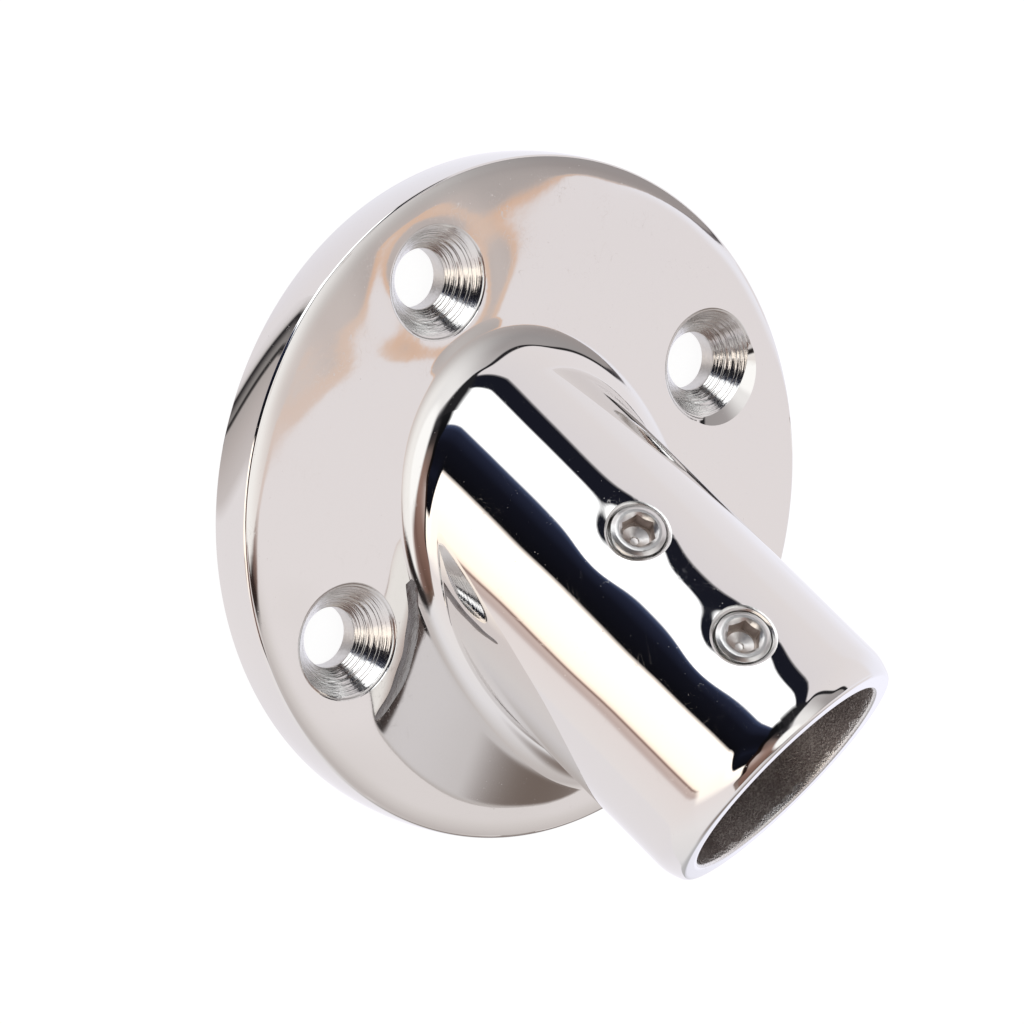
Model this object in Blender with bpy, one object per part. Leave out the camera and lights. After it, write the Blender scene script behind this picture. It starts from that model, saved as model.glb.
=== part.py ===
"""A round stanchion base for a deck: one polished stainless casting with a socket that leans 45 degrees, and the two
set screws that clamp a 25.4 mm rail tube in it. Lengths are in metres, +Z is up out of the deck, and the socket leans
towards +X. The origin is the centre of the underside, on the deck."""

import math

import bmesh
import bpy
from mathutils import Matrix, Vector

MM = 0.001

# Flange
FLANGE_RADIUS = 36.5 * MM
FACE_HEIGHT = 5.8 * MM  # the face round the foot of the socket
FACE_DROP = 0.2 * MM  # how much lower the face lies at the rim
DROP_START = 20.0 * MM  # distance from the centre at which the face starts to fall
EDGE_RADIUS = 0.4 * MM
FOOT_RADIUS = 0.3 * MM

# Underside: a shallow ring is relieved, so the base stands on its rim and on a pad in the middle
RELIEF_DEPTH = 0.6 * MM
RELIEF_OUTER = 34.0 * MM
RELIEF_INNER = 10.0 * MM
RELIEF_SLOPE = 0.5 * MM

# Socket
LEAN = math.radians(45)
SOCKET_RADIUS = 15.8 * MM
BORE_RADIUS = 12.8 * MM
MOUTH_DISTANCE = 43.5 * MM  # along the socket axis, from the origin
MOUTH_ROUND = 0.8 * MM
BORE_CHAMFER = 0.35 * MM
FLOOR_HEIGHT = 2.5 * MM
FILLET_UNDER = 6.5 * MM  # how far the fillet reaches along the face, on the side the socket leans to
FILLET_BESIDE = 2.6 * MM
FILLET_BEHIND = 3.0 * MM

# Countersunk mounting holes
HOLE_CIRCLE_RADIUS = 27.0 * MM
HOLE_AZIMUTHS = [math.radians(angle) for angle in (90, 180, 270)]
HOLE_RADIUS = 3.15 * MM
COUNTERSINK_RADIUS = 5.75 * MM
COUNTERSINK_HALF_ANGLE = math.radians(41)
COUNTERSINK_TOP = 5.5 * MM
LIP_FLARE = 0.35 * MM

# Set screws, M6 with a hexagon socket and a cup point
SCREW_DISTANCES = {"set_screw_inner": 16.9 * MM, "set_screw_outer": 32.4 * MM}
SCREW_SINKS = {"set_screw_inner": 0.1 * MM, "set_screw_outer": 0.4 * MM}
SCREW_RADIUS = 2.7 * MM
SCREW_LENGTH = 5.0 * MM
SCREW_CHAMFER = 0.45 * MM
HEX_ACROSS_FLATS = 3.0 * MM
HEX_DEPTH = 2.4 * MM
HEX_CHAMFER = 0.3 * MM
CUP_RADIUS = 1.5 * MM
CUP_DEPTH = 0.6 * MM
TAPPED_RADIUS = 3.0 * MM
TAPPED_CHAMFER = 0.35 * MM

AROUND = 96
AXIS = Vector((math.sin(LEAN), 0, math.cos(LEAN)))
DOWNHILL = Vector((math.cos(LEAN), 0, -math.sin(LEAN)))  # square to the axis, towards the deck
SIDEWAYS = Vector((0, 1, 0))


def steel(name, colour, roughness):
    material = bpy.data.materials.new(name)
    material.use_nodes = True
    shader = material.node_tree.nodes["Principled BSDF"]
    shader.inputs["Base Color"].default_value = (*colour, 1)
    shader.inputs["Metallic"].default_value = 1
    shader.inputs["Roughness"].default_value = roughness
    return material


def add_object(name, vertices, faces):
    mesh = bpy.data.meshes.new(name)
    mesh.from_pydata(vertices, [], faces)
    mesh.update()
    made = bpy.data.objects.new(name, mesh)
    bpy.context.scene.collection.objects.link(made)
    return made


def rings_to_object(name, rings):
    """Joins rings of equal length into a closed skin. The first and the last ring are closed with a fan."""
    count = len(rings[0])
    vertices = [point for ring in rings for point in ring]
    faces = []
    for row in range(len(rings) - 1):
        for column in range(count):
            following = (column + 1) % count
            low = row * count
            high = low + count
            faces.append((low + column, low + following, high + following, high + column))
    last = (len(rings) - 1) * count
    for start, ring, turned in ((0, rings[0], True), (last, rings[-1], False)):
        vertices.append(sum(ring, Vector()) / count)
        centre = len(vertices) - 1
        for column in range(count):
            pair = (start + column, start + (column + 1) % count)
            faces.append((*reversed(pair), centre) if turned else (*pair, centre))
    return add_object(name, vertices, faces)


def face_height(radius):
    share = max(0, radius - DROP_START) / (FLANGE_RADIUS - DROP_START)
    return FACE_HEIGHT - FACE_DROP * share**2


def around_socket(angle):
    """The unit direction from the socket axis at an angle, which is 0 on the side that faces the deck."""
    return DOWNHILL * math.cos(angle) + SIDEWAYS * math.sin(angle)


def along_generator(angle, radius, height):
    """Where the line at this angle and radius, parallel to the socket axis, crosses a height."""
    outward = around_socket(angle) * radius
    return (height - outward.z) / AXIS.z


def fillet_reach(angle):
    """The fillet's reach along the face: widest under the socket, where the two surfaces close up."""
    towards = math.cos(angle)
    if towards > 0:
        return FILLET_BESIDE + (FILLET_UNDER - FILLET_BESIDE) * towards**2
    return FILLET_BESIDE + (FILLET_BEHIND - FILLET_BESIDE) * towards**2


def fillet_points(angle, steps):
    """The curve from the face, up the fillet, to the socket wall, and the distance along the axis where it ends."""
    outward = around_socket(angle) * SOCKET_RADIUS
    start = along_generator(angle, SOCKET_RADIUS, FACE_HEIGHT)
    corner = outward + AXIS * start
    foot_tangent = around_socket(angle + math.pi / 2)
    foot_tangent -= AXIS * (foot_tangent.z / AXIS.z)
    away = foot_tangent.cross(Vector((0, 0, 1))).normalized()
    reach = fillet_reach(angle)
    weight = math.sin(away.angle(AXIS) / 2)
    points = []
    for step in range(steps + 1):
        share = step / steps
        terms = ((1 - share) ** 2, 2 * weight * share * (1 - share), share**2)
        point = terms[0] * (corner + away * reach) + terms[1] * corner + terms[2] * (corner + AXIS * reach)
        point /= sum(terms)
        fade = 1 - share * share * (3 - 2 * share)
        point.z += (face_height(point.xy.length) - FACE_HEIGHT) * fade
        points.append(point)
    return points, start + reach


def casting_column(angle):
    """One line of the casting's skin, from the pad in the middle of the underside, round and down into the bore."""
    fillet, wall_start = fillet_points(angle, 8)
    foot = fillet[0]
    flat = Vector((foot.x, foot.y, 0)).normalized()
    up = Vector((0, 0, 1))
    column = [
        flat * (RELIEF_INNER - RELIEF_SLOPE),
        flat * RELIEF_INNER + up * RELIEF_DEPTH,
        flat * (RELIEF_INNER + RELIEF_OUTER) / 2 + up * RELIEF_DEPTH,
        flat * RELIEF_OUTER + up * RELIEF_DEPTH,
        flat * (RELIEF_OUTER + RELIEF_SLOPE),
    ]
    for turn in (0, math.pi / 4, math.pi / 2):
        inset = FOOT_RADIUS * (1 - math.sin(turn))
        column.append(flat * (FLANGE_RADIUS - inset) + up * FOOT_RADIUS * (1 - math.cos(turn)))
    edge_height = face_height(FLANGE_RADIUS - EDGE_RADIUS)
    for turn in (0, math.pi / 6, math.pi / 3, math.pi / 2):
        out = FLANGE_RADIUS - EDGE_RADIUS * (1 - math.cos(turn))
        column.append(flat * out + up * (edge_height - EDGE_RADIUS * (1 - math.sin(turn))))
    rim = FLANGE_RADIUS - EDGE_RADIUS
    for share in (0.33, 0.67):
        distance = rim + (foot.xy.length - rim) * share
        column.append(flat * distance + up * face_height(distance))
    column += fillet
    outward = around_socket(angle)
    round_start = MOUTH_DISTANCE - MOUTH_ROUND
    column.append(outward * SOCKET_RADIUS + AXIS * (wall_start + round_start) / 2)
    for turn in (0, math.pi / 6, math.pi / 3, math.pi / 2):
        radius = SOCKET_RADIUS - MOUTH_ROUND * (1 - math.cos(turn))
        column.append(outward * radius + AXIS * (round_start + MOUTH_ROUND * math.sin(turn)))
    column.append(outward * (BORE_RADIUS + BORE_CHAMFER) + AXIS * MOUTH_DISTANCE)
    column.append(outward * BORE_RADIUS + AXIS * (MOUTH_DISTANCE - BORE_CHAMFER))
    floor_distance = along_generator(angle, BORE_RADIUS, FLOOR_HEIGHT)
    column.append(outward * BORE_RADIUS + AXIS * floor_distance)
    return column


def revolved(name, profile, around, matrix):
    """A closed solid of revolution from (radius, height) pairs listed upwards, placed with a matrix."""
    rings = []
    for radius, height in profile:
        ring = []
        for step in range(around):
            angle = 2 * math.pi * (step + 0.5) / around
            ring.append(matrix @ Vector((radius * math.cos(angle), radius * math.sin(angle), height)))
        rings.append(ring)
    return rings_to_object(name, rings)


def screw_matrix(distance, height):
    """Turns +Z to the set screws' outward direction, with the origin at a height above the socket axis."""
    turned = Matrix((AXIS, SIDEWAYS, -DOWNHILL)).transposed().to_4x4()
    return Matrix.Translation(AXIS * distance - DOWNHILL * height) @ turned


def cut(target, cutter):
    cutter.hide_render = True
    cutter.display_type = "WIRE"
    boolean = target.modifiers.new(cutter.name, "BOOLEAN")
    boolean.operation = "DIFFERENCE"
    boolean.solver = "EXACT"
    boolean.object = cutter


def shade_smooth(target, material):
    target.data.materials.append(material)
    target.data.shade_smooth()
    target.data.set_sharp_from_angle(angle=math.radians(35))


def make_casting():
    columns = [casting_column(2 * math.pi * step / AROUND) for step in range(AROUND)]
    casting = rings_to_object("base_casting", list(zip(*columns)))
    cone_depth = (COUNTERSINK_RADIUS - HOLE_RADIUS) / math.tan(COUNTERSINK_HALF_ANGLE)
    hole_profile = [
        (HOLE_RADIUS, -MM),
        (HOLE_RADIUS, COUNTERSINK_TOP - cone_depth),
        (COUNTERSINK_RADIUS, COUNTERSINK_TOP),
        (COUNTERSINK_RADIUS + LIP_FLARE, FACE_HEIGHT),
        (COUNTERSINK_RADIUS + LIP_FLARE, FACE_HEIGHT + MM),
    ]
    for number, azimuth in enumerate(HOLE_AZIMUTHS, 1):
        centre = Vector((math.cos(azimuth), math.sin(azimuth), 0)) * HOLE_CIRCLE_RADIUS
        cut(casting, revolved(f"hole_cutter_{number}", hole_profile, 40, Matrix.Translation(centre)))
    tapped_profile = [
        (TAPPED_RADIUS, BORE_RADIUS - 2 * MM),
        (TAPPED_RADIUS, SOCKET_RADIUS - TAPPED_CHAMFER),
        (TAPPED_RADIUS + 3 * TAPPED_CHAMFER, SOCKET_RADIUS + 2 * TAPPED_CHAMFER),
    ]
    for name, distance in SCREW_DISTANCES.items():
        cut(casting, revolved(f"{name}_cutter", tapped_profile, 36, screw_matrix(distance, 0)))
    return casting


def make_set_screw(name):
    """The screw's own origin is the centre of its outer face, on its axis."""
    tip = -SCREW_LENGTH
    profile = [
        (CUP_RADIUS * 0.3, tip + CUP_DEPTH),
        (CUP_RADIUS, tip),
        (CUP_RADIUS + 0.3 * MM, tip),
        (SCREW_RADIUS, tip + 0.9 * MM),
        (SCREW_RADIUS, -SCREW_CHAMFER),
        (SCREW_RADIUS - SCREW_CHAMFER, 0),
    ]
    screw = revolved(name, profile, 36, Matrix.Identity(4))
    corner = HEX_ACROSS_FLATS / math.sqrt(3)
    socket = revolved(f"{name}_hexagon", [(corner, -HEX_DEPTH), (corner, MM)], 6, Matrix.Identity(4))
    mouth_profile = [
        (corner - HEX_CHAMFER, -2 * HEX_CHAMFER),
        (corner + 2 * HEX_CHAMFER, HEX_CHAMFER),
    ]
    mouth = revolved(f"{name}_socket_mouth", mouth_profile, 36, Matrix.Identity(4))
    for cutter in (socket, mouth):
        cutter.parent = screw
        cut(screw, cutter)
    screw.matrix_world = screw_matrix(SCREW_DISTANCES[name], SOCKET_RADIUS - SCREW_SINKS[name])
    return screw


for leftover in list(bpy.data.objects):
    bpy.data.objects.remove(leftover)

shade_smooth(make_casting(), steel("polished_stainless", (0.80, 0.78, 0.77), 0.06))
for screw_name in SCREW_DISTANCES:
    shade_smooth(make_set_screw(screw_name), steel(f"{screw_name}_steel", (0.68, 0.67, 0.66), 0.22))
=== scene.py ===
"""The looks of a round stanchion base: a mirror-polished stainless casting with an as-cast bore and turned
countersinks, and its two set screws. Lengths are in metres, in the CAD's frame."""

import math

import bmesh
import bpy
import numpy as np
from mathutils import Matrix, Quaternion, Vector


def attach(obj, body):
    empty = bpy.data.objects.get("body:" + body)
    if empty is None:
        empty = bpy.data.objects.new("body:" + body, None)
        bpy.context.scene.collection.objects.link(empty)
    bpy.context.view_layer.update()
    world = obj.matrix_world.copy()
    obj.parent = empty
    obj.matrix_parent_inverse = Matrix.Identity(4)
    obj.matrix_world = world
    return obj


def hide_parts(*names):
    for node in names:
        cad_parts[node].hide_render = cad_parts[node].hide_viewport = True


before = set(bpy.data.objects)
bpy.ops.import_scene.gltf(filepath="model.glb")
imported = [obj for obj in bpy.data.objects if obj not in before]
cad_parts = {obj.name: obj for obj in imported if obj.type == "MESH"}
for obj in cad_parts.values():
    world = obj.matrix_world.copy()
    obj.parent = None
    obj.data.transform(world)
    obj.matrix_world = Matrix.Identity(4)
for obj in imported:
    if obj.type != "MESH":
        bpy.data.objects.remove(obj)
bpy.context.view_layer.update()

MM = 0.001

# The casting and the set screws, as the CAD has them
FLANGE_RADIUS = 36.5 * MM
FACE_HEIGHT = 5.8 * MM
FACE_DROP = 0.2 * MM
DROP_START = 20.0 * MM
FOOT_RADIUS = 0.3 * MM
RELIEF_DEPTH = 0.6 * MM
RELIEF_OUTER = 34.0 * MM
RELIEF_INNER = 10.0 * MM
RELIEF_SLOPE = 0.5 * MM
LEAN = math.radians(45)
SOCKET_RADIUS = 15.8 * MM
BORE_RADIUS = 12.8 * MM
MOUTH_DISTANCE = 43.5 * MM
BORE_CHAMFER = 0.35 * MM
FLOOR_HEIGHT = 2.5 * MM
FILLET_UNDER = 6.5 * MM
FILLET_BESIDE = 2.6 * MM
FILLET_BEHIND = 3.0 * MM
HOLE_CIRCLE_RADIUS = 27.0 * MM
HOLE_RADIUS = 3.15 * MM
COUNTERSINK_RADIUS = 5.75 * MM
COUNTERSINK_HALF_ANGLE = math.radians(41)
COUNTERSINK_TOP = 5.5 * MM
TAPPED_RADIUS = 3.0 * MM
SCREW_DISTANCES = {"set_screw_inner": 16.9 * MM, "set_screw_outer": 32.4 * MM}
SCREW_SINKS = {"set_screw_inner": 0.1 * MM, "set_screw_outer": 0.4 * MM}
SCREW_LENGTH = 5.0 * MM

# These differ from the CAD, which has 0.8, 3.0 and 2.4 mm.
MOUTH_ROUND = 0.35 * MM
HEX_ACROSS_FLATS = 3.3 * MM
HEX_DEPTH = 1.9 * MM

AROUND = 320
AXIS = np.array((math.sin(LEAN), 0, math.cos(LEAN)))
DOWNHILL = np.array((math.cos(LEAN), 0, -math.sin(LEAN)))
SIDEWAYS = np.array((0, 1.0, 0))
UP = np.array((0, 0, 1.0))

# What buffing does to the casting: edges roll off, flat surfaces go slightly wavy, the rim bows, and the
# surface sinks round every hole and at the mouth. Each reach sets how far from the edge it fades out.
ROLL_START = 34.1 * MM
ROLL_DROP = 0.17 * MM
RIM_ROUND = 0.3 * MM
WAVE_HEIGHT = 0.007 * MM
WAVE_LENGTHS = (7 * MM, 20 * MM)
RIM_BARREL = 0.15 * MM
MOUTH_WEAR = 0.85 * MM
MOUTH_WEAR_REACH = 3.1 * MM
TAPPED_WEAR = 0.6 * MM
TAPPED_WEAR_START = 1.5 * MM
TAPPED_WEAR_REACH = 2.6 * MM
TAPPED_WEAR_OFFSET = (-0.5 * MM, -0.6 * MM)
TAPPED_WEAR_SHARE = 0.68
TAPPED_WEAR_LOPSIDED = 0.32
TAPPED_WEAR_TILT = 2.0 * MM
HOLES = {"back": 180, "left": 90, "right": 270}
HOLE_WEAR = {"back": 0.08 * MM, "left": 0.02 * MM, "right": 0.03 * MM}
HOLE_WEAR_REACH = 2.9 * MM

# Two slips of the tools: a shallow dish beside the left hole, and a dull groove round part of the right hole.
DISH_OFFSET = (1.35 * MM, 0.55 * MM)
# The dish's radii and heights, in millimetres
DISH_PROFILE = [(0.5, 4.6), (3.0, 4.85), (4.6, 5.34), (6.2, 5.9), (6.3, 7.0)]
GROOVE_RADIUS = 9.4 * MM
GROOVE_SAG = 1.5 * MM
GROOVE_DEPTH = 0.1 * MM
GROOVE_ROUND = 2.2 * MM
GROOVE_ANGLES = (math.radians(-10), math.radians(98))

# The turned cone of a countersink is a stack of tool marks, each a little steeper or flatter than the cone.
TOOL_MARKS = 10
LIP_RADIUS = 6.2 * MM
LIP_STEP = 0.2 * MM
LIP_TURN = math.radians(62)
DRILL_EDGE = 0.05 * MM  # how much wider the cone starts than the drilled hole
HOLE_SIDES = 128

CAST_GRAIN = 0.006 * MM
EDGE_POLISH = 1.5 * MM
THREAD_PITCH = 1.0 * MM
THREAD_RADIUS = 2.93 * MM
THREAD_DEPTH = 0.42 * MM
THREAD_FADE = 0.3 * MM


# ---------------------------------------------------------------- meshes


def new_object(name, vertices, faces, materials, face_materials=None):
    mesh = bpy.data.meshes.new(name)
    mesh.from_pydata([tuple(vertex) for vertex in vertices], [], faces)
    for material in materials:
        mesh.materials.append(material)
    if face_materials is not None:
        mesh.polygons.foreach_set("material_index", face_materials)
    mesh.update()
    made = bpy.data.objects.new(name, mesh)
    bpy.context.scene.collection.objects.link(made)
    return made


def closed_grid(name, rings, materials, ring_materials=None):
    """A closed skin through rings of equal length, with a fan over the first and the last ring."""
    rings = np.asarray(rings)
    rows, count = rings.shape[:2]
    vertices = rings.reshape(-1, 3)
    column = np.arange(count)
    following = np.roll(column, -1)
    faces = []
    indices = []
    for row in range(rows - 1):
        low = row * count
        high = low + count
        quads = np.stack((low + column, low + following, high + following, high + column), 1)
        faces += quads.tolist()
        indices += [ring_materials[row] if ring_materials else 0] * count
    vertices = np.vstack((vertices, rings[0].mean(0), rings[-1].mean(0)))
    first, last = rows * count, rows * count + 1
    top = (rows - 1) * count
    faces += np.stack((following, column, np.full(count, first)), 1).tolist()
    faces += np.stack((top + column, top + following, np.full(count, last)), 1).tolist()
    indices += [ring_materials[0] if ring_materials else 0] * count
    indices += [ring_materials[-1] if ring_materials else 0] * count
    return new_object(name, vertices, faces, materials, indices)


def in_metres(profile, lift=0.0):
    """A profile in millimetres as one in metres, raised by a height in metres."""
    return [(radius * MM, height * MM + lift) for radius, height in profile]


def revolved(name, profile, around, matrix, material):
    """A closed solid of revolution from (radius, height) pairs listed upwards, placed with a matrix."""
    angles = (np.arange(around) + 0.5) * 2 * math.pi / around
    rings = [
        np.stack((radius * np.cos(angles), radius * np.sin(angles), np.full(around, height)), 1)
        for radius, height in profile
    ]
    made = closed_grid(name, rings, [material])
    made.data.transform(matrix)
    return made


def cut_with(target, cutters):
    """Takes the cutters out of the target for good. Each cut face keeps its cutter's material."""
    for cutter in cutters:
        boolean = target.modifiers.new(cutter.name, "BOOLEAN")
        boolean.operation = "DIFFERENCE"
        boolean.solver = "MANIFOLD"
        boolean.material_mode = "TRANSFER"
        boolean.object = cutter
    graph = bpy.context.evaluated_depsgraph_get()
    cut = bpy.data.meshes.new_from_object(target.evaluated_get(graph), depsgraph=graph)
    target.modifiers.clear()
    target.data = cut
    for cutter in cutters:
        bpy.data.objects.remove(cutter)


def shade_smooth(target, degrees):
    target.data.shade_smooth()
    target.data.set_sharp_from_angle(angle=math.radians(degrees))


def sharpen_borders(target):
    """Marks every edge between two materials as sharp, so that neither one's shading runs into the other."""
    work = bmesh.new()
    work.from_mesh(target.data)
    for edge in work.edges:
        if len({face.material_index for face in edge.link_faces}) > 1:
            edge.smooth = False
    work.to_mesh(target.data)
    work.free()


def waves(points, lengths, seed, terms=48):
    """An even random field of unit deviation at points, made of plane waves between two lengths."""
    draw = np.random.default_rng(seed)
    directions = draw.normal(size=(terms, 3))
    directions /= np.linalg.norm(directions, axis=1)[:, None]
    numbers = 2 * math.pi / draw.uniform(*lengths, size=terms)
    phases = draw.uniform(0, 2 * math.pi, size=terms)
    field = np.zeros(points.shape[:-1])
    for direction, number, phase in zip(directions, numbers, phases):
        field += np.sin(points @ direction * number + phase)
    return field / math.sqrt(terms / 2)


def grid_noise(shape, blur, seed):
    """Even noise of unit deviation on a grid that wraps both ways. blur is the blobs' size in cells."""
    spectrum = np.fft.fft2(np.random.default_rng(seed).normal(size=shape))
    for axis, cells in enumerate(blur):
        fade = np.exp(-2 * (math.pi * np.fft.fftfreq(shape[axis]) * cells / 2) ** 2)
        spectrum *= fade[:, None] if axis == 0 else fade[None, :]
    field = np.fft.ifft2(spectrum).real
    return field / field.std()


# ---------------------------------------------------------------- the casting's skin


def face_height(radius):
    share = np.maximum(0, radius - DROP_START) / (FLANGE_RADIUS - DROP_START)
    roll = np.maximum(0, radius - ROLL_START) / (FLANGE_RADIUS - ROLL_START)
    return FACE_HEIGHT - FACE_DROP * share**2 - ROLL_DROP * roll**3


def flat_length(points):
    return np.hypot(points[..., 0], points[..., 1])


def around_socket(angles):
    return np.cos(angles)[:, None] * DOWNHILL + np.sin(angles)[:, None] * SIDEWAYS


def along_generator(outward, height):
    return (height - outward[:, 2]) / AXIS[2]


def fillet_reach(angles):
    towards = np.cos(angles)
    wide = np.where(towards > 0, FILLET_UNDER, FILLET_BEHIND)
    return FILLET_BESIDE + (wide - FILLET_BESIDE) * towards**2


def fillet_rings(angles, steps):
    """Rings from the face, up the fillet, to the socket's wall, and where along the axis they end."""
    outward = around_socket(angles) * SOCKET_RADIUS
    start = along_generator(outward, FACE_HEIGHT)
    corner = outward + start[:, None] * AXIS
    tangent = around_socket(angles + math.pi / 2)
    tangent -= (tangent[:, 2] / AXIS[2])[:, None] * AXIS
    away = np.cross(tangent, UP)
    away /= np.linalg.norm(away, axis=1)[:, None]
    reach = fillet_reach(angles)[:, None]
    weight = np.sin(np.arccos(away @ AXIS) / 2)[:, None]
    rings = []
    for share in np.linspace(0, 1, steps + 1):
        terms = ((1 - share) ** 2, 2 * weight * share * (1 - share), share**2)
        ring = terms[0] * (corner + away * reach) + terms[1] * corner
        ring = ring + terms[2] * (corner + AXIS * reach)
        ring /= sum(terms)
        fade = 1 - share * share * (3 - 2 * share)
        ring[:, 2] += (face_height(flat_length(ring)) - FACE_HEIGHT) * fade
        rings.append(ring)
    return rings, start + reach[:, 0]


def hole_centre(name):
    angle = math.radians(HOLES[name])
    return np.array((math.cos(angle), math.sin(angle), 0)) * HOLE_CIRCLE_RADIUS


def face_wear(points):
    """How far buffing has sunk the face round the mounting holes."""
    worn = np.zeros(points.shape[:-1])
    for name, depth in HOLE_WEAR.items():
        away = flat_length(points - hole_centre(name)) - COUNTERSINK_RADIUS
        worn += depth * np.exp(-((np.maximum(away, 0) / HOLE_WEAR_REACH) ** 2))
    return worn


def tapped_wear(points):
    """How far buffing has sunk the socket's wall round the tapped holes, more on one side than the other."""
    worn = np.zeros(points.shape[:-1])
    along, beside = TAPPED_WEAR_OFFSET
    for distance in SCREW_DISTANCES.values():
        centre = AXIS * (distance + along) + SIDEWAYS * beside - DOWNHILL * SOCKET_RADIUS
        away = np.maximum(np.linalg.norm(points - centre, axis=-1) - TAPPED_WEAR_START, 0)
        share = TAPPED_WEAR_SHARE - TAPPED_WEAR_LOPSIDED * np.tanh(points[..., 1] / TAPPED_WEAR_TILT)
        worn += TAPPED_WEAR * share * np.exp(-((away / TAPPED_WEAR_REACH) ** 2))
    return worn


def mouth_wear(points):
    left = MOUTH_DISTANCE - points @ AXIS
    return MOUTH_WEAR * np.clip(1 - left / MOUTH_WEAR_REACH, 0, 1) ** 2


def casting_rings():
    """Every ring of the skin, from the pad in the middle of the underside, round and down into the bore, and
    the zone of the band of faces after each ring."""
    angles = np.arange(AROUND) * 2 * math.pi / AROUND
    fillet, wall_start = fillet_rings(angles, 30)
    foot = fillet[0]
    flat = foot * (1, 1, 0)
    flat /= flat_length(flat)[:, None]
    outward = around_socket(angles)
    rings = []
    zones = []

    def add(ring, zone):
        rings.append(ring)
        zones.append(zone)

    for radius in np.linspace(2 * MM, RELIEF_INNER - RELIEF_SLOPE, 4):
        add(flat * radius, "ground")
    for radius in np.linspace(RELIEF_INNER, RELIEF_OUTER, 9):
        add(flat * radius + UP * RELIEF_DEPTH, "under")
    add(flat * (RELIEF_OUTER + RELIEF_SLOPE), "ground")
    for turn in np.linspace(0, math.pi / 2, 7):
        inset = FOOT_RADIUS * (1 - math.sin(turn)) + RIM_BARREL
        add(flat * (FLANGE_RADIUS - inset) + UP * FOOT_RADIUS * (1 - math.cos(turn)), "rim")
    rim = FLANGE_RADIUS - RIM_BARREL - RIM_ROUND
    edge_height = face_height(rim) - RIM_ROUND
    for share in np.linspace(-1, 1, 12)[1:-1]:
        height = (FOOT_RADIUS + edge_height) / 2 + (edge_height - FOOT_RADIUS) / 2 * share
        add(flat * (FLANGE_RADIUS - RIM_BARREL * share**2) + UP * height, "rim")
    for turn in np.linspace(0, math.pi / 2, 9)[:-1]:
        out = rim + RIM_ROUND * math.cos(turn)
        add(flat * out + UP * (edge_height + RIM_ROUND * math.sin(turn)), "rim")
    for share in np.linspace(0, 1, 42)[:-1] ** 1.35:
        distance = (rim + (flat_length(foot) - rim) * share)[:, None]
        add(flat * distance + UP * face_height(distance), "face")
    for ring in fillet:
        add(ring, "fillet")
    round_start = MOUTH_DISTANCE - MOUTH_ROUND
    for share in np.linspace(0, 1, 88)[1:]:
        distance = wall_start + (round_start - wall_start) * share
        add(outward * SOCKET_RADIUS + distance[:, None] * AXIS, "wall")
    for turn in np.linspace(0, math.pi / 2, 9)[1:]:
        radius = SOCKET_RADIUS - MOUTH_ROUND * (1 - math.cos(turn))
        add(outward * radius + AXIS * (round_start + MOUTH_ROUND * math.sin(turn)), "mouth")
    for radius in np.linspace(SOCKET_RADIUS - MOUTH_ROUND, BORE_RADIUS + BORE_CHAMFER, 6)[1:]:
        add(outward * radius + AXIS * MOUTH_DISTANCE, "mouth")
    for turn in np.linspace(0, math.pi / 2, 7)[1:]:
        radius = BORE_RADIUS + BORE_CHAMFER * (1 - math.sin(turn))
        add(outward * radius + AXIS * (MOUTH_DISTANCE - BORE_CHAMFER * (1 - math.cos(turn))), "bore")
    inside = outward * BORE_RADIUS
    floor_distance = along_generator(inside, FLOOR_HEIGHT)
    for share in np.linspace(0, 1, 46)[1:]:
        distance = MOUTH_DISTANCE - BORE_CHAMFER + (floor_distance - MOUTH_DISTANCE + BORE_CHAMFER) * share
        add(inside + distance[:, None] * AXIS, "bore")
    return np.array(rings), np.array(zones)


def ring_normals(rings):
    along = np.gradient(rings, axis=0)
    around = np.roll(rings, -1, 1) - np.roll(rings, 1, 1)
    normals = np.cross(around, along)
    return normals / np.linalg.norm(normals, axis=-1)[..., None]


def wear_skin(rings, zones):
    """Moves the clean skin along its normals, as buffing and the mould leave it."""
    zone = zones[:, None]
    buffed = np.isin(zones, ("face", "fillet", "wall"))[:, None]
    push = WAVE_HEIGHT * waves(rings, WAVE_LENGTHS, 7) * buffed
    push -= face_wear(rings) * (zone == "face")
    push -= tapped_wear(rings) * (zone == "wall")
    grain = grid_noise(rings.shape[:2], (1.6, 2.6), 11) + grid_noise(rings.shape[:2], (5, 8), 12)
    deep = np.clip((MOUTH_DISTANCE - rings @ AXIS) / MM - 0.6, 0, 1)
    push += CAST_GRAIN * grain * (zone == "bore") * deep
    push += CAST_GRAIN * grain * (zone == "under")
    worn = rings + ring_normals(rings) * push[..., None]
    along = rings @ AXIS
    outward = rings - along[..., None] * AXIS
    radius = np.linalg.norm(outward, axis=-1)
    wall = SOCKET_RADIUS - BORE_RADIUS - BORE_CHAMFER
    share = np.clip((radius - BORE_RADIUS - BORE_CHAMFER) / wall, 0, 1)
    drawn = mouth_wear(rings) * share * np.isin(zones, ("wall", "mouth"))[:, None]
    return worn - outward / radius[..., None] * drawn[..., None]


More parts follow.
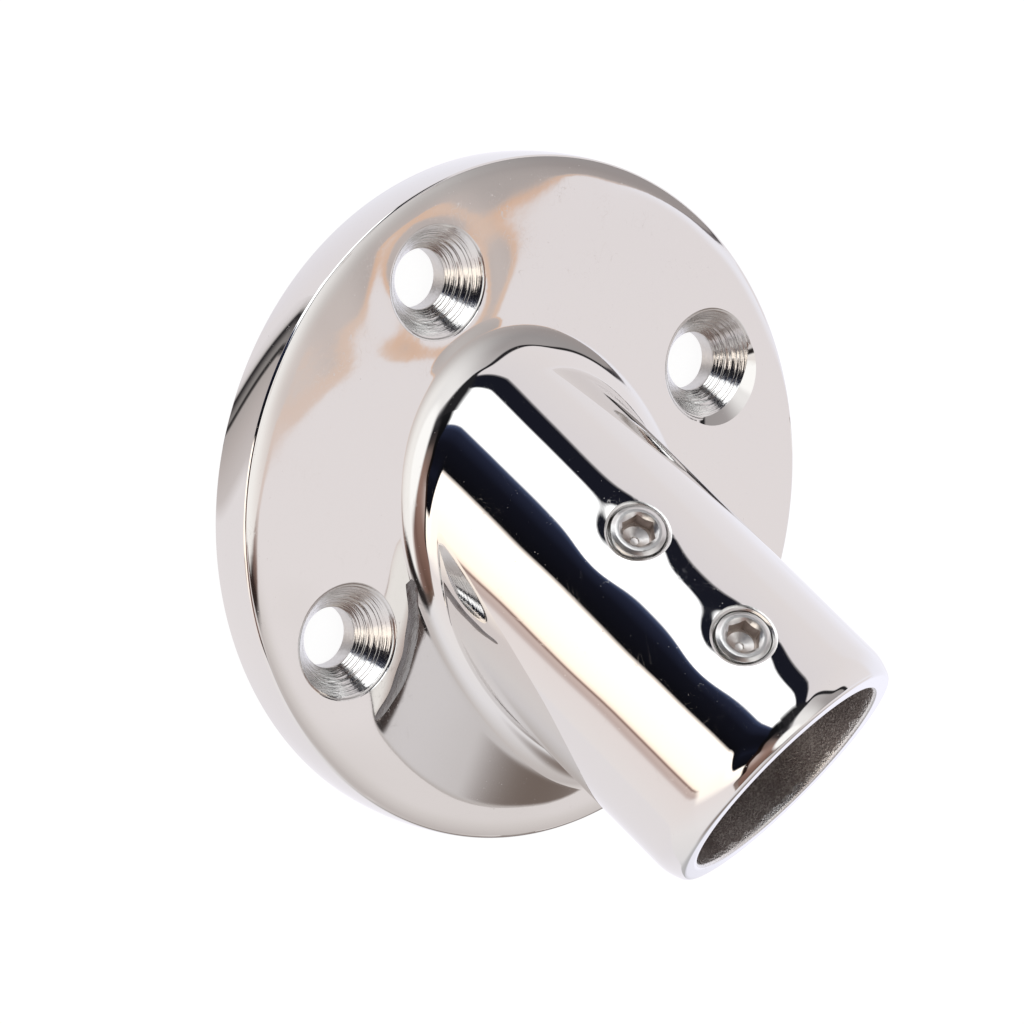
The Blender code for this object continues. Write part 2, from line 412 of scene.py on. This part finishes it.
def hole_profile(name):
    """A mounting hole's cutter: the drilled hole, the cone with its tool marks, and the buffed lip."""
    draw = np.random.default_rng(HOLES[name])
    cone_depth = (COUNTERSINK_RADIUS - HOLE_RADIUS) / math.tan(COUNTERSINK_HALF_ANGLE)
    bottom = COUNTERSINK_TOP - cone_depth
    cone_start = HOLE_RADIUS + DRILL_EDGE
    profile = [(HOLE_RADIUS, -MM), (HOLE_RADIUS, bottom - 0.12 * MM), (cone_start, bottom)]
    for share in np.linspace(0, 1, TOOL_MARKS + 1)[1:]:
        off = draw.uniform(-0.016, 0.016) * MM
        radius = cone_start + (COUNTERSINK_RADIUS - cone_start) * share
        profile.append((radius, bottom + cone_depth * share + off))
    top = profile[-1][1]
    for turn in np.linspace(0, LIP_TURN, 6)[1:]:
        out = math.sin(turn) / math.sin(LIP_TURN)
        up = (1 - math.cos(turn)) / (1 - math.cos(LIP_TURN))
        radius = COUNTERSINK_RADIUS + (LIP_RADIUS - COUNTERSINK_RADIUS) * out
        profile.append((radius, top + LIP_STEP * up + 0.06 * MM))
    profile.append((LIP_RADIUS + 0.5 * MM, FACE_HEIGHT + 0.12 * MM))
    profile.append((LIP_RADIUS + 0.6 * MM, FACE_HEIGHT + MM))
    return profile


def tapped_cutter(name, distance, around, material):
    """The cutter of a tapped hole. Its rounded mouth follows the socket's curved, worn wall."""
    angles = (np.arange(around) + 0.5) * 2 * math.pi / around
    groove = 0.07 * MM
    steps = [(TAPPED_RADIUS, BORE_RADIUS - 2 * MM, 0)]
    height = BORE_RADIUS - 1.5 * MM
    while height < SOCKET_RADIUS - 1.5 * MM:
        steps.append((TAPPED_RADIUS, height, 0))
        steps.append((TAPPED_RADIUS + groove, height + THREAD_PITCH / 2, 0))
        height += THREAD_PITCH
    lip = [(0, -0.48), (0.04, -0.32), (0.18, -0.18), (0.24, -0.1), (0.33, -0.045), (0.43, -0.012)]
    lip.append((0.56, 0.02))
    steps += [(TAPPED_RADIUS + out * MM, up * MM, 1) for out, up in lip]
    steps.append((TAPPED_RADIUS + 0.66 * MM, 1.2 * MM, 1))
    rings = []
    for radius, up, follows in steps:
        across = radius * np.cos(angles)
        beside = radius * np.sin(angles)
        wall = np.sqrt(SOCKET_RADIUS**2 - beside**2)
        points = AXIS * (distance + across)[:, None] + SIDEWAYS * beside[:, None]
        points = points - DOWNHILL * wall[:, None]
        wall -= tapped_wear(points) * SOCKET_RADIUS / wall
        rings.append(np.stack((across, beside, up + wall * follows), 1))
    cutter = closed_grid(name, rings, [material])
    cutter.data.transform(screw_matrix(distance, 0))
    return cutter


def dish_cutter(material):
    place = Matrix.Translation(Vector((*DISH_OFFSET, 0)) + Vector(hole_centre("left")))
    return revolved("dish", in_metres(DISH_PROFILE), HOLE_SIDES, place, material)


def groove_cutter(material):
    """Part of a torus that dips into the face, and rises out of it at both ends."""
    sections = 60
    angles = (np.arange(48) + 0.5) * 2 * math.pi / 48
    rings = []
    for share in np.linspace(0, 1, sections):
        bearing = GROOVE_ANGLES[0] + (GROOVE_ANGLES[1] - GROOVE_ANGLES[0]) * share
        outward = np.array((math.cos(bearing), math.sin(bearing), 0))
        depth = GROOVE_DEPTH * (1 - abs(2 * share - 1) ** 4 * 1.4 + 0.25 * math.sin(share * 21))
        centre = hole_centre("right") + outward * (GROOVE_RADIUS - GROOVE_SAG * math.sin(share * math.pi))
        centre = centre + UP * (FACE_HEIGHT - 0.05 * MM - depth + GROOVE_ROUND)
        across = np.sin(angles)[:, None] * outward * GROOVE_ROUND
        rings.append(centre + across + np.cos(angles)[:, None] * UP * GROOVE_ROUND)
    return closed_grid("groove", rings, [material])


def make_casting(materials):
    rings, zones = casting_rings()
    rings = wear_skin(rings, zones)
    order = ("polished", "ground", "cast")
    finish = {"ground": 1, "under": 2, "bore": 2}
    picked = [finish.get(zone, 0) for zone in zones]
    casting = closed_grid("casting", rings, [materials[name] for name in order], picked)
    cutters = []
    for name in HOLES:
        place = Matrix.Translation(Vector(hole_centre(name)))
        cutters.append(revolved("hole", hole_profile(name), HOLE_SIDES, place, materials["turned"]))
    cutters += [dish_cutter(materials["polished"]), groove_cutter(materials["missed"])]
    for distance in SCREW_DISTANCES.values():
        cutters.append(tapped_cutter("tapped", distance, HOLE_SIDES, materials["tapped"]))
    cut_with(casting, cutters)
    shade_smooth(casting, 16)
    sharpen_borders(casting)
    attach(casting, "base")
    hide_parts("base_casting")
    return casting


# ---------------------------------------------------------------- set screws


def screw_matrix(distance, height):
    """Turns +Z to the set screws' outward direction, with the origin at a height above the socket axis."""
    turned = Matrix((AXIS, SIDEWAYS, -DOWNHILL)).transposed().to_4x4()
    return Matrix.Translation(AXIS * distance - DOWNHILL * height) @ turned


def threaded_rings(around, bottom, top):
    """Rings of a screw thread, with a flat crest and a pointed root."""
    angles = (np.arange(around) + 0.5) * 2 * math.pi / around
    count = int(round((top - bottom) / THREAD_PITCH * 10))
    rings = []
    for height in np.linspace(bottom, top, count + 1):
        phase = (height / THREAD_PITCH - angles / (2 * math.pi)) % 1
        depth = np.clip(1 - np.abs(phase - 0.5) / 0.42, 0, 1)
        fade = np.clip((top - height) / THREAD_FADE, 0, 1) * np.clip((height - bottom) / THREAD_FADE, 0, 1)
        radius = THREAD_RADIUS - THREAD_DEPTH * depth * fade
        rings.append(np.stack((radius * np.cos(angles), radius * np.sin(angles), np.full(around, height)), 1))
    return rings


def plain_ring(radius, height, around):
    angles = (np.arange(around) + 0.5) * 2 * math.pi / around
    return np.stack((radius * np.cos(angles), radius * np.sin(angles), np.full(around, height)), 1)


def make_set_screw(name, materials, turn):
    around = 96
    material = materials["screw"]
    point = [(0.3, 0.62), (1.42, 0.06), (1.5, 0.0), (1.72, 0.0), (1.8, 0.03), (2.6, 0.86)]
    rings = [plain_ring(radius, height, around) for radius, height in in_metres(point, -SCREW_LENGTH)]
    rings += threaded_rings(around, -SCREW_LENGTH + 1.0 * MM, -0.42 * MM)
    head = [(2.93, -0.36), (2.9, -0.28), (2.56, -0.06), (2.47, -0.015), (2.38, 0.0), (2.15, 0.0)]
    rings += [plain_ring(radius, height, around) for radius, height in in_metres(head)]
    screw = closed_grid(name.replace("set_screw", "screw"), rings, [material])
    spin = Matrix.Rotation(math.radians(turn), 4, "Z")
    socket = materials["socket"]
    corner = HEX_ACROSS_FLATS / math.sqrt(3)
    walls = [(corner, -HEX_DEPTH), (corner, MM)]
    hexagon = revolved("hexagon", walls, 6, spin, socket)
    cone = [(0.1, -0.7), (0.42, -0.66), (0.5, -0.5), (0.9, -0.33), (1.45, -0.05), (1.5, 0.4)]
    bottom = revolved("bottom", in_metres(cone, -HEX_DEPTH), 48, spin, materials["drilled"])
    mouth = [(1.58, -0.5), (1.68, -0.35), (2.02, -0.06), (2.08, -0.02), (2.14, 0.02), (2.4, 0.3)]
    bevel = revolved("mouth", in_metres(mouth), around, spin, material)
    cut_with(screw, [hexagon, bottom, bevel])
    screw.data.transform(screw_matrix(SCREW_DISTANCES[name], SOCKET_RADIUS - SCREW_SINKS[name]))
    shade_smooth(screw, 25)
    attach(screw, "inner_screw" if name.endswith("inner") else "outer_screw")
    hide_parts(name)
    return screw


# ---------------------------------------------------------------- materials


STEEL = (0.80, 0.785, 0.775)


class Graph:
    """Short calls for making linked shader nodes."""

    def __init__(self, tree):
        self.tree = tree

    def add(self, kind, inputs, output=0, **settings):
        node = self.tree.nodes.new(kind)
        for key, value in settings.items():
            setattr(node, key, value)
        for key, value in inputs.items():
            if isinstance(value, bpy.types.NodeSocket):
                self.tree.links.new(value, node.inputs[key])
            else:
                node.inputs[key].default_value = value
        return node.outputs[output]

    def math(self, operation, first, second=0.0, third=0.0):
        return self.add("ShaderNodeMath", {0: first, 1: second, 2: third}, operation=operation)

    def step(self, value, low, high, smooth=True):
        kind = "SMOOTHSTEP" if smooth else "LINEAR"
        return self.add(
            "ShaderNodeMapRange", {"Value": value, "From Min": low, "From Max": high}, interpolation_type=kind
        )

    def mix(self, share, first, second, blend="MIX"):
        return self.add(
            "ShaderNodeMix", {"Factor": share, 6: first, 7: second}, 2, data_type="RGBA", blend_type=blend
        )

    def ramp(self, value, stops, interpolation="LINEAR"):
        """A colour ramp through (position from 0 to 1, colour) stops."""
        node = self.tree.nodes.new("ShaderNodeValToRGB")
        node.color_ramp.interpolation = interpolation
        elements = node.color_ramp.elements
        for number, (position, colour) in enumerate(stops):
            element = elements[number] if number < 2 else elements.new(position)
            element.position = position
            element.color = colour
        self.tree.links.new(value, node.inputs[0])
        return node.outputs[0]


class Metal:
    """A metallic material with its graph, its shader's sockets, and the object's own coordinates."""

    def __init__(self, name, colour, roughness):
        self.material = bpy.data.materials.new(name)
        self.material.use_nodes = True
        self.graph = Graph(self.material.node_tree)
        self.inputs = self.material.node_tree.nodes["Principled BSDF"].inputs
        self.inputs["Base Color"].default_value = (*colour, 1)
        self.inputs["Metallic"].default_value = 1
        self.inputs["Roughness"].default_value = roughness
        self.place = self.graph.add("ShaderNodeTexCoord", {}, "Object")

    def drive(self, socket, value):
        self.material.node_tree.links.new(value, self.inputs[socket])

    def bump(self, height, distance, strength=1.0):
        inputs = {"Height": height, "Distance": distance, "Strength": strength}
        self.drive("Normal", self.graph.add("ShaderNodeBump", inputs))

    def noise(self, scale, detail=2.0, stretch=None, turn=None):
        """Noise with so many blobs to the metre, spun by turn, in degrees, and then scaled by stretch."""
        place = self.place
        if turn is not None:
            angles = tuple(math.radians(angle) for angle in turn)
            place = self.graph.add("ShaderNodeMapping", {"Vector": place, "Rotation": angles})
        if stretch is not None:
            place = self.graph.add("ShaderNodeMapping", {"Vector": place, "Scale": stretch})
        return self.graph.add("ShaderNodeTexNoise", {"Vector": place, "Scale": scale, "Detail": detail})

    def cells(self, scale):
        inputs = {"Vector": self.place, "Scale": scale}
        return self.graph.add("ShaderNodeTexVoronoi", inputs, "Distance", feature="F1")


def polished_steel():
    """Mirror polish with hairline scratches, buffing haze and a little dust."""
    made = Metal("polished_stainless", STEEL, 0.03)
    graph = made.graph
    scratches = None
    for turn in ((15, 20, 35), (70, -25, 110), (-40, 50, 170)):
        fine = made.noise(62, 0.0, (1, 22, 22), turn)
        line = graph.step(graph.math("ABSOLUTE", graph.math("SUBTRACT", fine, 0.5)), 0.011, 0.003)
        patch = graph.step(made.noise(230, 1.0, None, turn), 0.58, 0.7)
        line = graph.math("MULTIPLY", line, patch)
        scratches = line if scratches is None else graph.math("MAXIMUM", scratches, line)
    specks = None
    for scale, size, least in ((620.0, 0.06, 0.52), (1150.0, 0.08, 0.56), (2300.0, 0.13, 0.6)):
        cells = made.cells(scale)
        picked = graph.step(made.noise(scale * 1.7, 0.0), least, least + 0.05)
        speck = graph.math("MULTIPLY", graph.step(cells, size, size * 0.4), picked)
        specks = speck if specks is None else graph.math("MAXIMUM", specks, speck)
    haze = graph.math("MULTIPLY_ADD", made.noise(140, 3.0), 0.045, 0.008)
    rough = graph.math("MULTIPLY_ADD", scratches, 0.13, haze)
    made.drive("Roughness", graph.math("MULTIPLY_ADD", specks, 0.3, rough))
    made.bump(made.noise(900, 1.0), 0.0000005)
    return made.material


def ground_steel():
    made = Metal("ground_stainless", (0.60, 0.59, 0.58), 0.3)
    grain = made.noise(900, 2.0, (1, 14, 1))
    made.drive("Roughness", made.graph.math("MULTIPLY_ADD", grain, 0.25, 0.2))
    made.bump(grain, 0.00004)
    return made.material


def cast_steel():
    """The dull, brownish, granular skin that the mould leaves, with polish run over its edge at the mouth."""
    made = Metal("cast_stainless", (0.36, 0.33, 0.31), 0.5)
    graph = made.graph
    broad = made.noise(260, 3.0)
    grains = made.cells(4200.0)
    shade = graph.math("MULTIPLY_ADD", broad, 0.6, graph.math("MULTIPLY", grains, 0.5))
    skin = graph.ramp(
        shade,
        [
            (0.25, (0.25, 0.215, 0.205, 1)),
            (0.55, (0.35, 0.31, 0.295, 1)),
            (0.8, (0.56, 0.52, 0.50, 1)),
        ],
    )
    inputs = {0: made.place, 1: tuple(float(part) for part in AXIS)}
    along = graph.add("ShaderNodeVectorMath", inputs, "Value", operation="DOT_PRODUCT")
    ragged = graph.math("MULTIPLY_ADD", made.noise(1100, 3.0), EDGE_POLISH, along)
    polished = graph.step(ragged, MOUTH_DISTANCE - 0.08 * MM, MOUTH_DISTANCE + 0.06 * MM)
    made.drive("Base Color", graph.mix(polished, skin, (*STEEL, 1)))
    rough = graph.math("MULTIPLY_ADD", grains, 0.25, 0.36)
    made.drive("Roughness", graph.math("MULTIPLY_ADD", polished, -0.2, rough))
    made.bump(made.noise(5200, 2.0), 0.00006)
    return made.material


def socket_steel_painted_shade():
    """The broached hexagon of a set screw, dull, and coloured darker and browner than the screw as painted
    shade of the recess.
    """
    # The darker, brownish colour is painted shade inside the socket.
    made = Metal("socket_stainless", (0.56, 0.50, 0.465), 0.4)
    streaks = made.noise(1500, 2.0)
    made.drive("Roughness", made.graph.math("MULTIPLY_ADD", streaks, 0.3, 0.25))
    made.bump(streaks, 0.00004)
    return made.material


def drilled_steel():
    """The bottom of a set screw's socket, bright from the drill."""
    made = Metal("drilled_stainless", (0.86, 0.83, 0.81), 0.34)
    streaks = made.noise(2600, 1.0)
    made.drive("Roughness", made.graph.math("MULTIPLY_ADD", streaks, 0.2, 0.26))
    made.bump(streaks, 0.000006)
    return made.material


def missed_steel():
    """A groove that the polishing wheel couldn't reach."""
    made = Metal("missed_stainless", (0.27, 0.26, 0.265), 0.26)
    streaks = made.noise(700, 3.0, (1, 3.5, 1), (0, 0, 45))
    made.drive("Roughness", made.graph.math("MULTIPLY_ADD", streaks, 0.3, 0.1))
    made.bump(streaks, 0.00006)
    return made.material


def countersunk_steel():
    """The mounting holes: a cone with the rings that the cutter left, and a duller drilled wall under it."""
    made = Metal("turned_stainless", (0.74, 0.73, 0.72), 0.16)
    graph = made.graph
    split = made.material.node_tree.nodes.new("ShaderNodeSeparateXYZ")
    made.material.node_tree.links.new(made.place, split.inputs[0])
    height = split.outputs["Z"]
    inputs = {"W": height, "Scale": 3800.0, "Detail": 2.0}
    rings = graph.add("ShaderNodeTexNoise", inputs, noise_dimensions="1D")
    chatter = made.noise(1900, 2.0)
    rough = graph.math("MULTIPLY_ADD", chatter, 0.16, 0.08)
    drilled = graph.step(height, 2.56 * MM, 2.4 * MM)
    made.drive("Roughness", graph.math("MULTIPLY_ADD", drilled, 0.26, rough))
    made.bump(graph.math("MULTIPLY_ADD", chatter, 0.25, rings), 0.00006)
    return made.material


def turned_steel(name, roughness):
    """A machined surface, with fine chatter that streaks it."""
    made = Metal(name, (0.74, 0.73, 0.72), roughness)
    chatter = made.noise(2300, 2.0)
    made.drive("Roughness", made.graph.math("MULTIPLY_ADD", chatter, 0.1, roughness - 0.05))
    made.bump(chatter, 0.00001)
    return made.material


# ---------------------------------------------------------------- studio

# The studio is a round tent of white cards with dark gaps. Each list gives (azimuth, colour) in degrees and
# in the sRGB steps that the polished steel shows, where over 255 is a card bright enough to burn out. Azimuth
# is counted from +X towards +Y.
WALLS = [
    (-180, (300, 300, 300)),
    (-166.5, (300, 300, 300)),
    (-164.5, (66, 76, 104)),
    (-161, (34, 38, 56)),
    (-150, (18, 19, 28)),
    (-133.5, (12, 12, 16)),
    (-131, (290, 276, 264)),
    (-104, (282, 266, 248)),
    (-92, (262, 252, 243)),
    (-84, (228, 219, 217)),
    (-60, (228, 223, 222)),
    (-40, (222, 218, 219)),
    (-18, (206, 201, 200)),
    (0, (194, 187, 184)),
    (20, (188, 180, 177)),
    (34, (208, 201, 198)),
    (42, (224, 217, 216)),
    (56, (222, 215, 215)),
    (60, (233, 231, 237)),
    (72, (226, 220, 221)),
    (105, (222, 215, 214)),
    (136.5, (217, 211, 212)),
    (138.2, (24, 25, 34)),
    (153.5, (24, 25, 34)),
    (155.2, (300, 300, 300)),
    (180, (300, 300, 300)),
]
LOWER_WALLS = [
    (-180, (300, 300, 300)),
    (-166, (300, 300, 300)),
    (-163, (40, 46, 70)),
    (-133.5, (12, 12, 16)),
    (-131, (290, 276, 264)),
    (-104, (282, 264, 244)),
    (-101.2, (262, 240, 222)),
    (-100, (120, 90, 80)),
    (-98.6, (200, 180, 172)),
    (-95, (190, 171, 165)),
    (-92.5, (226, 216, 213)),
    (-60, (227, 222, 221)),
    (-25, (218, 215, 215)),
    (-6, (182, 180, 181)),
    (27, (168, 166, 167)),
    (31, (236, 234, 244)),
    (70, (232, 230, 238)),
    (88, (226, 221, 223)),
    (120, (221, 215, 215)),
    (180, (217, 211, 212)),
]
GROUND = [
    (-180, (222, 216, 217)),
    (-171, (212, 206, 206)),
    (-167, (186, 180, 178)),
    (-165, (40, 38, 40)),
    (-162.5, (52, 49, 50)),
    (-157, (124, 119, 117)),
    (-154.5, (132, 127, 125)),
    (-153, (34, 32, 33)),
    (-151, (36, 34, 35)),
    (-149, (168, 160, 157)),
    (-135, (182, 173, 170)),
    (-118, (196, 188, 186)),
    (-110, (222, 216, 216)),
    (-60, (224, 218, 218)),
    (-20, (222, 217, 219)),
    (30, (230, 226, 231)),
    (100, (228, 226, 232)),
    (160, (222, 217, 220)),
    (180, (222, 216, 217)),
]
CEILING = [
    (-180, (30, 30, 32)),
    (-148, (22, 22, 25)),
    (-138, (52, 40, 37)),
    (-124, (66, 50, 45)),
    (-112, (196, 184, 180)),
    (-102, (182, 162, 154)),
    (-90, (134, 106, 96)),
    (-78, (120, 92, 82)),
    (-62, (92, 68, 58)),
    (-46, (126, 100, 88)),
    (-30, (120, 96, 90)),
    (-14, (240, 237, 233)),
    (10, (244, 240, 236)),
    (30, (214, 206, 202)),
    (44, (212, 200, 195)),
    (50, (186, 172, 167)),
    (56, (166, 157, 154)),
    (64, (152, 144, 142)),
    (80, (150, 145, 144)),
    (100, (158, 152, 151)),
    (124, (182, 177, 176)),
    (150, (222, 219, 219)),
    (168, (60, 60, 62)),
]
UPPER_CEILING = [
    (-180, (60, 58, 60)),
    (-165, (40, 38, 40)),
    (-150, (66, 58, 56)),
    (-140, (116, 100, 94)),
    (-120, (140, 114, 104)),
    (-100, (146, 118, 108)),
    (-80, (132, 105, 95)),
    (-60, (112, 86, 77)),
    (-40, (126, 102, 94)),
    (-25, (200, 186, 180)),
    (-10, (244, 241, 237)),
    (45, (240, 236, 232)),
    (90, (230, 227, 225)),
    (150, (234, 231, 229)),
    (170, (110, 108, 110)),
    (180, (60, 58, 60)),
]
APEX = (252, 250, 247)
# The seam between walls and ceiling: azimuth, elevation, colour, and half its width, in degrees
SEAM = [
    (-180, 64, (26, 26, 28), 9.0),
    (-166, 61, (18, 18, 20), 7.0),
    (-150, 62, (14, 14, 16), 3.0),
    (-133, 59.5, (14, 12, 12), 3.0),
    (-122, 59.5, (26, 18, 16), 3.0),
    (-112, 55.5, (44, 28, 22), 2.6),
    (-100, 50, (34, 22, 18), 2.8),
    (-90, 48.5, (34, 22, 18), 2.8),
    (-83, 41, (128, 110, 102), 2.0),
    (-76, 40, (150, 134, 126), 1.8),
    (-68, 47.5, (110, 90, 80), 2.0),
    (-56, 57, (92, 76, 68), 1.8),
    (-42, 63.5, (96, 84, 80), 1.7),
    (-28, 67, (48, 43, 42), 2.1),
    (0, 69.5, (40, 36, 35), 2.2),
    (20, 68.5, (40, 35, 34), 2.2),
    (32, 65.2, (52, 40, 36), 2.0),
    (38, 62.4, (128, 106, 98), 1.2),
    (43, 59.8, (210, 197, 192), 0.8),
    (48, 57.4, (212, 193, 183), 0.5),
    (51, 54.8, (212, 186, 169), 0.3),
    (55, 52.6, (212, 172, 144), 0.22),
    (58, 50.6, (200, 182, 174), 0.22),
    (61, 47.4, (160, 152, 150), 0.4),
    (63.5, 42, (110, 104, 106), 1.2),
    (68, 36, (60, 56, 60), 1.7),
    (74, 32.8, (40, 38, 40), 1.9),
    (86, 32.8, (38, 37, 38), 2.0),
    (99, 42.5, (38, 37, 38), 2.0),
    (122, 46.5, (36, 35, 38), 2.2),
    (136, 56, (34, 34, 37), 3.0),
    (158, 61, (36, 35, 37), 12.0),
]
WIDEST_SEAM = 14.0
# The dark gap at the back leans over: degrees of azimuth per degree of elevation above the start, and the
# azimuths between which the lean grows and fades.
GAP_LEAN = 1.0
GAP_LEAN_START = 52
GAP_WINDOW = ((96, 118), (179, 152))
# Up high the front gap reaches out over the warm card: its most in degrees, the azimuths between which it
# grows and fades, and the elevations between which it grows.
BULGE = 28
BULGE_AZIMUTHS = ((-146, -122), (-86, -104))
BULGE_ELEVATIONS = (23, 38)
# The dark streak on the ground leans too: degrees of azimuth per degree of elevation above its middle. The
# ground ends at its top.
GROUND_LEAN = 1.1
GROUND_MIDDLE = -52
GROUND_TOP = -31
# A dark patch low on the wall in front of the mouth: azimuth and elevation, and how far it reaches.
PATCH = (4, 15)
PATCH_REACH = (46, 22)
PATCH_SHADE = (118, 105, 98)
# The elevations between which one list fades into the next
LOWER_FADE = (3, -5)
ROOF_FADE = (50, 72)
APEX_FADE = (75.5, 81)
BRIGHTEST = 2.0


def radiance(seen):
    """What a card gives out to look like this sRGB colour in the steel, as a share of the brightest."""
    shares = np.array(seen) / 255
    linear = np.where(shares > 0.04045, ((shares + 0.055) / 1.055) ** 2.4, shares / 12.92)
    return (*(linear / STEEL / BRIGHTEST), 1)


def make_world():
    world = bpy.data.worlds.new("tent")
    bpy.context.scene.world = world
    world.use_nodes = True
    world.node_tree.nodes.clear()
    graph = Graph(world.node_tree)
    direction = graph.add("ShaderNodeTexCoord", {}, "Generated")
    split = world.node_tree.nodes.new("ShaderNodeSeparateXYZ")
    world.node_tree.links.new(direction, split.inputs[0])
    azimuth = graph.math("ARCTAN2", split.outputs["Y"], split.outputs["X"])
    turn = graph.math("MULTIPLY_ADD", azimuth, 0.5 / math.pi, 0.5)
    elevation = graph.math("ARCSINE", split.outputs["Z"])
    elevation = graph.math("MULTIPLY", elevation, 180 / math.pi)

    def around(stops, at=turn):
        return graph.ramp(at, [((degrees + 180) / 360, radiance(seen)) for degrees, seen in stops])

    curve = world.node_tree.nodes.new("ShaderNodeFloatCurve")
    points = curve.mapping.curves[0].points
    places = [((degrees + 180) / 360, height / 90) for degrees, height, _, _ in SEAM]
    places.append((1, places[0][1]))
    points[0].location = places[0]
    points[1].location = places[-1]
    for place in places[1:-1]:
        points.new(*place)
    for point in points:
        point.handle_type = "AUTO_CLAMPED"
    curve.mapping.update()
    world.node_tree.links.new(turn, curve.inputs["Value"])
    above = graph.math("MULTIPLY_ADD", curve.outputs[0], -90.0, elevation)

    shades = [
        ((degrees + 180) / 360, (*radiance(seen)[:3], half_width / WIDEST_SEAM))
        for degrees, _, seen, half_width in SEAM
    ]
    shade = graph.ramp(turn, shades)
    width = graph.math("MULTIPLY", shade.node.outputs["Alpha"], WIDEST_SEAM)
    seam = graph.step(graph.math("DIVIDE", graph.math("ABSOLUTE", above), width), 1.4, 0.5)

    high = graph.math("MAXIMUM", graph.math("SUBTRACT", elevation, GAP_LEAN_START), 0.0)
    lean = graph.math("MULTIPLY", high, GAP_LEAN)
    for low, high in GAP_WINDOW:
        share = graph.step(turn, (low + 180) / 360, (high + 180) / 360)
        lean = graph.math("MULTIPLY", lean, share)
    bulge = -BULGE
    for low, high in BULGE_AZIMUTHS:
        share = graph.step(turn, (low + 180) / 360, (high + 180) / 360)
        bulge = graph.math("MULTIPLY", share, bulge)
    bulge = graph.math("MULTIPLY", graph.step(elevation, *BULGE_ELEVATIONS), bulge)
    leaning = graph.math("MULTIPLY_ADD", graph.math("ADD", lean, bulge), 1 / 360, turn)
    walls = graph.mix(graph.step(elevation, *LOWER_FADE), around(WALLS, leaning), around(LOWER_WALLS))
    slide = GROUND_LEAN / 360
    low_turn = graph.math("MULTIPLY_ADD", elevation, slide, graph.math("ADD", turn, -GROUND_MIDDLE * slide))
    walls = graph.mix(graph.step(elevation, GROUND_TOP, GROUND_TOP - 3), walls, around(GROUND, low_turn))
    across = graph.math("MULTIPLY_ADD", turn, 360 / PATCH_REACH[0], -(PATCH[0] + 180) / PATCH_REACH[0])
    upwards = graph.math("MULTIPLY_ADD", elevation, 1 / PATCH_REACH[1], -PATCH[1] / PATCH_REACH[1])
    reach = graph.math("MULTIPLY_ADD", upwards, upwards, graph.math("MULTIPLY", across, across))
    walls = graph.mix(graph.step(reach, 1.0, -0.1), walls, radiance(PATCH_SHADE))
    roof = graph.mix(graph.step(elevation, *ROOF_FADE), around(CEILING), around(UPPER_CEILING))
    roof = graph.mix(graph.step(elevation, *APEX_FADE), roof, radiance(APEX))
    colour = graph.mix(graph.step(above, -0.5, 0.5), walls, roof)
    colour = graph.mix(seam, colour, shade)
    background = graph.add("ShaderNodeBackground", {"Color": colour, "Strength": BRIGHTEST})
    output = world.node_tree.nodes.new("ShaderNodeOutputWorld")
    world.node_tree.links.new(background, output.inputs["Surface"])


def make_floor():
    """A pale sheet that gives out its own light, and that the steel doesn't reflect."""
    size = 1.5
    height = -0.2 * MM
    corners = [(-size, -size, height), (size, -size, height), (size, size, height), (-size, size, height)]
    material = bpy.data.materials.new("floor")
    material.use_nodes = True
    shader = material.node_tree.nodes["Principled BSDF"]
    shader.inputs["Base Color"].default_value = (0.18, 0.18, 0.18, 1)
    shader.inputs["Roughness"].default_value = 1
    shader.inputs["Specular IOR Level"].default_value = 0
    shader.inputs["Emission Color"].default_value = (1, 1, 1, 1)
    shader.inputs["Emission Strength"].default_value = 0.92
    floor = new_object("floor", corners, [(0, 1, 2, 3)], [material])
    floor.visible_glossy = False


CAMERA_PLACE = Vector((-198.68, -212.26, 370.45)) * MM
CAMERA_TARGET = Vector((2.18, -0.26, 1.03)) * MM
CAMERA_ROLL = 102.9
CAMERA_LENS = 155.66


def make_camera():
    camera = bpy.data.objects.new("camera", bpy.data.cameras.new("camera"))
    bpy.context.scene.collection.objects.link(camera)
    camera.data.lens = CAMERA_LENS
    camera.data.sensor_width = 36
    camera.data.clip_start = 0.01
    camera.location = CAMERA_PLACE
    facing = (CAMERA_TARGET - CAMERA_PLACE).to_track_quat("-Z", "Y")
    camera.rotation_mode = "QUATERNION"
    camera.rotation_quaternion = facing @ Quaternion((0, 0, 1), math.radians(CAMERA_ROLL))
    bpy.context.scene.camera = camera


steel = {
    "polished": polished_steel(),
    "ground": ground_steel(),
    "cast": cast_steel(),
    "turned": countersunk_steel(),
    "tapped": turned_steel("tapped_stainless", 0.24),
    "screw": turned_steel("screw_stainless", 0.3),
    "socket": socket_steel_painted_shade(),
    "drilled": drilled_steel(),
    "missed": missed_steel(),
}
make_casting(steel)
make_set_screw("set_screw_inner", steel, 52)
make_set_screw("set_screw_outer", steel, 40)
make_world()
make_floor()
make_camera()
bpy.context.scene.view_settings.view_transform = "Standard"
